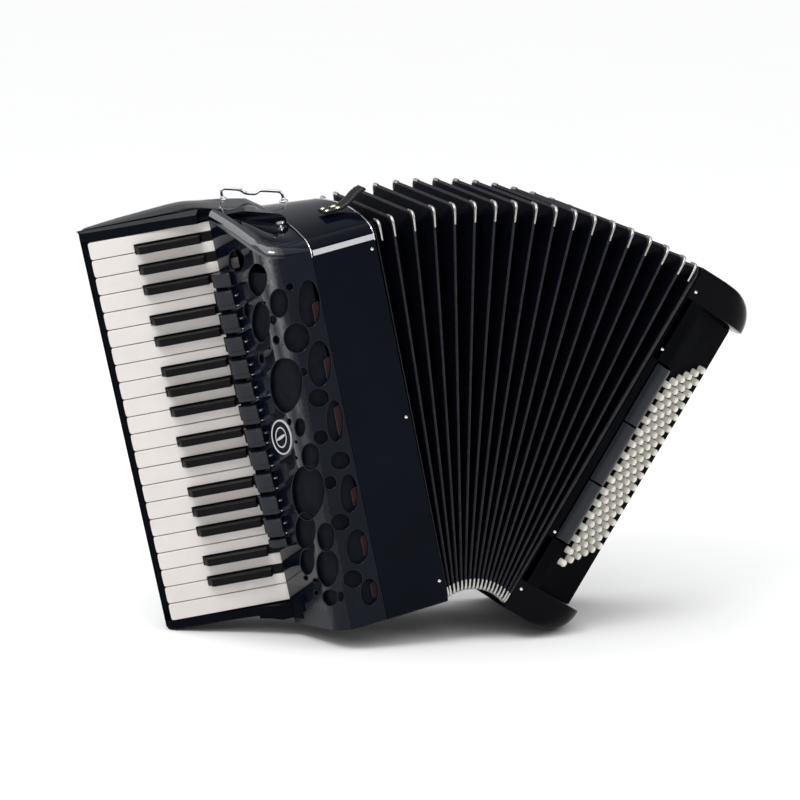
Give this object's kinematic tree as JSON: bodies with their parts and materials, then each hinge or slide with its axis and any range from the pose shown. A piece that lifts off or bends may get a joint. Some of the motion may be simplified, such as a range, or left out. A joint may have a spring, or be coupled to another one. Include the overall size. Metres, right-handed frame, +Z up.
{
  "type": "piano accordion",
  "caption": "Piano accordion standing half open: piano keys and grille on one side, fanned bellows, slanted button board on the other.",
  "frame": {"origin": "middle of the footprint box, at floor level, under the instrument as it stands on the lower outer edge of the keyboard and of the bass case", "axes": "+X from the keyboard to the bass side, +Y from the front to the player, +Z up"},
  "size_m": [0.7189, 0.2092, 0.4815],
  "materials": {
    "white_key": "warm off-white celluloid, softly glossy",
    "black_key": "satin black",
    "case_lacquer": "high gloss black celluloid",
    "dark_mesh": "fine dark woven mesh",
    "steel": "drawn steel",
    "reed_wood": "plain spruce, unvarnished",
    "frame_wood": "dark stained",
    "bellows_cloth": "black grained cloth on card, taped edges",
    "chrome_trim": "polished chrome",
    "strap_leather": "black grained leather",
    "board_black": "gloss black",
    "button_cream": "cream, polished",
    "switch_black": "gloss black"
  },
  "bodies": {
    "treble_section": {"treble_case": "case_lacquer", "treble_grille": "case_lacquer", "grille_mesh": "dark_mesh", "keyboard_bed": "case_lacquer", "key_axle": "steel", "treble_reed_blocks": "reed_wood", "bellows_frame_treble": "frame_wood", "bellows_folds": "bellows_cloth", "bellows_corner_guards": "chrome_trim", "bellows_pins_treble": "chrome_trim", "strap_brackets": "chrome_trim", "bellows_strap": "strap_leather"},
    "bass_section": {"bass_case": "case_lacquer", "bass_button_board": "board_black", "bass_reed_blocks": "reed_wood", "bass_strap": "strap_leather", "bellows_frame_bass": "frame_wood", "bellows_pins_bass": "chrome_trim"},
    "air_button": {"air_button": "chrome_trim"},
    "chord_buttons": {"chord_buttons": "button_cream"},
    "bass_note_buttons": {"bass_note_buttons": "button_cream"},
    "bass_registers": {"bass_register_switches": "switch_black"},
    "treble_registers": {"treble_register_switches": "switch_black"},
    "key_01_white": {"key_01_white": "white_key"},
    "key_02_black": {"key_02_black": "black_key"},
    "key_03_white": {"key_03_white": "white_key"},
    "key_04_black": {"key_04_black": "black_key"},
    "key_05_white": {"key_05_white": "white_key"},
    "key_06_black": {"key_06_black": "black_key"},
    "key_07_white": {"key_07_white": "white_key"},
    "key_08_white": {"key_08_white": "white_key"},
    "key_09_black": {"key_09_black": "black_key"},
    "key_10_white": {"key_10_white": "white_key"},
    "key_11_black": {"key_11_black": "black_key"},
    "key_12_white": {"key_12_white": "white_key"},
    "key_13_white": {"key_13_white": "white_key"},
    "key_14_black": {"key_14_black": "black_key"},
    "key_15_white": {"key_15_white": "white_key"},
    "key_16_black": {"key_16_black": "black_key"},
    "key_17_white": {"key_17_white": "white_key"},
    "key_18_black": {"key_18_black": "black_key"},
    "key_19_white": {"key_19_white": "white_key"},
    "key_20_white": {"key_20_white": "white_key"},
    "key_21_black": {"key_21_black": "black_key"},
    "key_22_white": {"key_22_white": "white_key"},
    "key_23_black": {"key_23_black": "black_key"},
    "key_24_white": {"key_24_white": "white_key"},
    "key_25_white": {"key_25_white": "white_key"},
    "key_26_black": {"key_26_black": "black_key"},
    "key_27_white": {"key_27_white": "white_key"},
    "key_28_black": {"key_28_black": "black_key"},
    "key_29_white": {"key_29_white": "white_key"},
    "key_30_black": {"key_30_black": "black_key"},
    "key_31_white": {"key_31_white": "white_key"},
    "key_32_white": {"key_32_white": "white_key"},
    "key_33_black": {"key_33_black": "black_key"},
    "key_34_white": {"key_34_white": "white_key"},
    "key_35_black": {"key_35_black": "black_key"},
    "key_36_white": {"key_36_white": "white_key"},
    "key_37_white": {"key_37_white": "white_key"}
  },
  "joints": [
    {"name": "bellows_fan", "type": "hinge", "parent": "treble_section", "child": "bass_section", "pos_m": [0.04437, -0.00615, 0.04476], "axis": [0, 1, 0], "range_deg": [-44.5, 8], "deforming": ["bellows_folds", "bellows_corner_guards"]},
    {"name": "bass_air_button_press", "type": "slide", "parent": "bass_section", "child": "air_button", "axis": [-0.8594, 0, 0.5113], "range_m": [0, 0.004], "stiffness_N_per_m": 300, "springref_m": -0.008},
    {"name": "bass_chord_buttons_press", "type": "slide", "parent": "bass_section", "child": "chord_buttons", "axis": [-0.5653, 0.7532, 0.3363], "range_m": [0, 0.004], "stiffness_N_per_m": 1500, "springref_m": -0.004},
    {"name": "bass_note_buttons_press", "type": "slide", "parent": "bass_section", "child": "bass_note_buttons", "axis": [-0.5653, 0.7532, 0.3363], "range_m": [0, 0.004], "stiffness_N_per_m": 900, "springref_m": -0.004},
    {"name": "bass_register_press", "type": "slide", "parent": "bass_section", "child": "bass_registers", "axis": [0, 1, 0], "range_m": [0, 0.0025], "stiffness_N_per_m": 900, "springref_m": -0.003},
    {"name": "register_press", "type": "slide", "parent": "treble_section", "child": "treble_registers", "axis": [0.3481, 0.9336, 0.0852], "range_m": [0, 0.003], "stiffness_N_per_m": 900, "springref_m": -0.003},
    {"name": "key_01_white_press", "type": "hinge", "parent": "treble_section", "child": "key_01_white", "pos_m": [-0.17112, -0.02393, 0.24632], "axis": [0.2377, 0, -0.9713], "range_deg": [0, 2], "stiffness_Nm_per_rad": 1.2, "springref_deg": -5.73},
    {"name": "key_02_black_press", "type": "hinge", "parent": "treble_section", "child": "key_02_black", "pos_m": [-0.17112, -0.02393, 0.24632], "axis": [0.2377, 0, -0.9713], "range_deg": [0, 2], "stiffness_Nm_per_rad": 1.2, "springref_deg": -5.73},
    {"name": "key_03_white_press", "type": "hinge", "parent": "treble_section", "child": "key_03_white", "pos_m": [-0.17112, -0.02393, 0.24632], "axis": [0.2377, 0, -0.9713], "range_deg": [0, 2], "stiffness_Nm_per_rad": 1.2, "springref_deg": -5.73},
    {"name": "key_04_black_press", "type": "hinge", "parent": "treble_section", "child": "key_04_black", "pos_m": [-0.17112, -0.02393, 0.24632], "axis": [0.2377, 0, -0.9713], "range_deg": [0, 2], "stiffness_Nm_per_rad": 1.2, "springref_deg": -5.73},
    {"name": "key_05_white_press", "type": "hinge", "parent": "treble_section", "child": "key_05_white", "pos_m": [-0.17112, -0.02393, 0.24632], "axis": [0.2377, 0, -0.9713], "range_deg": [0, 2], "stiffness_Nm_per_rad": 1.2, "springref_deg": -5.73},
    {"name": "key_06_black_press", "type": "hinge", "parent": "treble_section", "child": "key_06_black", "pos_m": [-0.17112, -0.02393, 0.24632], "axis": [0.2377, 0, -0.9713], "range_deg": [0, 2], "stiffness_Nm_per_rad": 1.2, "springref_deg": -5.73},
    {"name": "key_07_white_press", "type": "hinge", "parent": "treble_section", "child": "key_07_white", "pos_m": [-0.17112, -0.02393, 0.24632], "axis": [0.2377, 0, -0.9713], "range_deg": [0, 2], "stiffness_Nm_per_rad": 1.2, "springref_deg": -5.73},
    {"name": "key_08_white_press", "type": "hinge", "parent": "treble_section", "child": "key_08_white", "pos_m": [-0.17112, -0.02393, 0.24632], "axis": [0.2377, 0, -0.9713], "range_deg": [0, 2], "stiffness_Nm_per_rad": 1.2, "springref_deg": -5.73},
    {"name": "key_09_black_press", "type": "hinge", "parent": "treble_section", "child": "key_09_black", "pos_m": [-0.17112, -0.02393, 0.24632], "axis": [0.2377, 0, -0.9713], "range_deg": [0, 2], "stiffness_Nm_per_rad": 1.2, "springref_deg": -5.73},
    {"name": "key_10_white_press", "type": "hinge", "parent": "treble_section", "child": "key_10_white", "pos_m": [-0.17112, -0.02393, 0.24632], "axis": [0.2377, 0, -0.9713], "range_deg": [0, 2], "stiffness_Nm_per_rad": 1.2, "springref_deg": -5.73},
    {"name": "key_11_black_press", "type": "hinge", "parent": "treble_section", "child": "key_11_black", "pos_m": [-0.17112, -0.02393, 0.24632], "axis": [0.2377, 0, -0.9713], "range_deg": [0, 2], "stiffness_Nm_per_rad": 1.2, "springref_deg": -5.73},
    {"name": "key_12_white_press", "type": "hinge", "parent": "treble_section", "child": "key_12_white", "pos_m": [-0.17112, -0.02393, 0.24632], "axis": [0.2377, 0, -0.9713], "range_deg": [0, 2], "stiffness_Nm_per_rad": 1.2, "springref_deg": -5.73},
    {"name": "key_13_white_press", "type": "hinge", "parent": "treble_section", "child": "key_13_white", "pos_m": [-0.17112, -0.02393, 0.24632], "axis": [0.2377, 0, -0.9713], "range_deg": [0, 2], "stiffness_Nm_per_rad": 1.2, "springref_deg": -5.73},
    {"name": "key_14_black_press", "type": "hinge", "parent": "treble_section", "child": "key_14_black", "pos_m": [-0.17112, -0.02393, 0.24632], "axis": [0.2377, 0, -0.9713], "range_deg": [0, 2], "stiffness_Nm_per_rad": 1.2, "springref_deg": -5.73},
    {"name": "key_15_white_press", "type": "hinge", "parent": "treble_section", "child": "key_15_white", "pos_m": [-0.17112, -0.02393, 0.24632], "axis": [0.2377, 0, -0.9713], "range_deg": [0, 2], "stiffness_Nm_per_rad": 1.2, "springref_deg": -5.73},
    {"name": "key_16_black_press", "type": "hinge", "parent": "treble_section", "child": "key_16_black", "pos_m": [-0.17112, -0.02393, 0.24632], "axis": [0.2377, 0, -0.9713], "range_deg": [0, 2], "stiffness_Nm_per_rad": 1.2, "springref_deg": -5.73},
    {"name": "key_17_white_press", "type": "hinge", "parent": "treble_section", "child": "key_17_white", "pos_m": [-0.17112, -0.02393, 0.24632], "axis": [0.2377, 0, -0.9713], "range_deg": [0, 2], "stiffness_Nm_per_rad": 1.2, "springref_deg": -5.73},
    {"name": "key_18_black_press", "type": "hinge", "parent": "treble_section", "child": "key_18_black", "pos_m": [-0.17112, -0.02393, 0.24632], "axis": [0.2377, 0, -0.9713], "range_deg": [0, 2], "stiffness_Nm_per_rad": 1.2, "springref_deg": -5.73},
    {"name": "key_19_white_press", "type": "hinge", "parent": "treble_section", "child": "key_19_white", "pos_m": [-0.17112, -0.02393, 0.24632], "axis": [0.2377, 0, -0.9713], "range_deg": [0, 2], "stiffness_Nm_per_rad": 1.2, "springref_deg": -5.73},
    {"name": "key_20_white_press", "type": "hinge", "parent": "treble_section", "child": "key_20_white", "pos_m": [-0.17112, -0.02393, 0.24632], "axis": [0.2377, 0, -0.9713], "range_deg": [0, 2], "stiffness_Nm_per_rad": 1.2, "springref_deg": -5.73},
    {"name": "key_21_black_press", "type": "hinge", "parent": "treble_section", "child": "key_21_black", "pos_m": [-0.17112, -0.02393, 0.24632], "axis": [0.2377, 0, -0.9713], "range_deg": [0, 2], "stiffness_Nm_per_rad": 1.2, "springref_deg": -5.73},
    {"name": "key_22_white_press", "type": "hinge", "parent": "treble_section", "child": "key_22_white", "pos_m": [-0.17112, -0.02393, 0.24632], "axis": [0.2377, 0, -0.9713], "range_deg": [0, 2], "stiffness_Nm_per_rad": 1.2, "springref_deg": -5.73},
    {"name": "key_23_black_press", "type": "hinge", "parent": "treble_section", "child": "key_23_black", "pos_m": [-0.17112, -0.02393, 0.24632], "axis": [0.2377, 0, -0.9713], "range_deg": [0, 2], "stiffness_Nm_per_rad": 1.2, "springref_deg": -5.73},
    {"name": "key_24_white_press", "type": "hinge", "parent": "treble_section", "child": "key_24_white", "pos_m": [-0.17112, -0.02393, 0.24632], "axis": [0.2377, 0, -0.9713], "range_deg": [0, 2], "stiffness_Nm_per_rad": 1.2, "springref_deg": -5.73},
    {"name": "key_25_white_press", "type": "hinge", "parent": "treble_section", "child": "key_25_white", "pos_m": [-0.17112, -0.02393, 0.24632], "axis": [0.2377, 0, -0.9713], "range_deg": [0, 2], "stiffness_Nm_per_rad": 1.2, "springref_deg": -5.73},
    {"name": "key_26_black_press", "type": "hinge", "parent": "treble_section", "child": "key_26_black", "pos_m": [-0.17112, -0.02393, 0.24632], "axis": [0.2377, 0, -0.9713], "range_deg": [0, 2], "stiffness_Nm_per_rad": 1.2, "springref_deg": -5.73},
    {"name": "key_27_white_press", "type": "hinge", "parent": "treble_section", "child": "key_27_white", "pos_m": [-0.17112, -0.02393, 0.24632], "axis": [0.2377, 0, -0.9713], "range_deg": [0, 2], "stiffness_Nm_per_rad": 1.2, "springref_deg": -5.73},
    {"name": "key_28_black_press", "type": "hinge", "parent": "treble_section", "child": "key_28_black", "pos_m": [-0.17112, -0.02393, 0.24632], "axis": [0.2377, 0, -0.9713], "range_deg": [0, 2], "stiffness_Nm_per_rad": 1.2, "springref_deg": -5.73},
    {"name": "key_29_white_press", "type": "hinge", "parent": "treble_section", "child": "key_29_white", "pos_m": [-0.17112, -0.02393, 0.24632], "axis": [0.2377, 0, -0.9713], "range_deg": [0, 2], "stiffness_Nm_per_rad": 1.2, "springref_deg": -5.73},
    {"name": "key_30_black_press", "type": "hinge", "parent": "treble_section", "child": "key_30_black", "pos_m": [-0.17112, -0.02393, 0.24632], "axis": [0.2377, 0, -0.9713], "range_deg": [0, 2], "stiffness_Nm_per_rad": 1.2, "springref_deg": -5.73},
    {"name": "key_31_white_press", "type": "hinge", "parent": "treble_section", "child": "key_31_white", "pos_m": [-0.17112, -0.02393, 0.24632], "axis": [0.2377, 0, -0.9713], "range_deg": [0, 2], "stiffness_Nm_per_rad": 1.2, "springref_deg": -5.73},
    {"name": "key_32_white_press", "type": "hinge", "parent": "treble_section", "child": "key_32_white", "pos_m": [-0.17112, -0.02393, 0.24632], "axis": [0.2377, 0, -0.9713], "range_deg": [0, 2], "stiffness_Nm_per_rad": 1.2, "springref_deg": -5.73},
    {"name": "key_33_black_press", "type": "hinge", "parent": "treble_section", "child": "key_33_black", "pos_m": [-0.17112, -0.02393, 0.24632], "axis": [0.2377, 0, -0.9713], "range_deg": [0, 2], "stiffness_Nm_per_rad": 1.2, "springref_deg": -5.73},
    {"name": "key_34_white_press", "type": "hinge", "parent": "treble_section", "child": "key_34_white", "pos_m": [-0.17112, -0.02393, 0.24632], "axis": [0.2377, 0, -0.9713], "range_deg": [0, 2], "stiffness_Nm_per_rad": 1.2, "springref_deg": -5.73},
    {"name": "key_35_black_press", "type": "hinge", "parent": "treble_section", "child": "key_35_black", "pos_m": [-0.17112, -0.02393, 0.24632], "axis": [0.2377, 0, -0.9713], "range_deg": [0, 2], "stiffness_Nm_per_rad": 1.2, "springref_deg": -5.73},
    {"name": "key_36_white_press", "type": "hinge", "parent": "treble_section", "child": "key_36_white", "pos_m": [-0.17112, -0.02393, 0.24632], "axis": [0.2377, 0, -0.9713], "range_deg": [0, 2], "stiffness_Nm_per_rad": 1.2, "springref_deg": -5.73},
    {"name": "key_37_white_press", "type": "hinge", "parent": "treble_section", "child": "key_37_white", "pos_m": [-0.17112, -0.02393, 0.24632], "axis": [0.2377, 0, -0.9713], "range_deg": [0, 2], "stiffness_Nm_per_rad": 1.2, "springref_deg": -5.73}
  ]
}
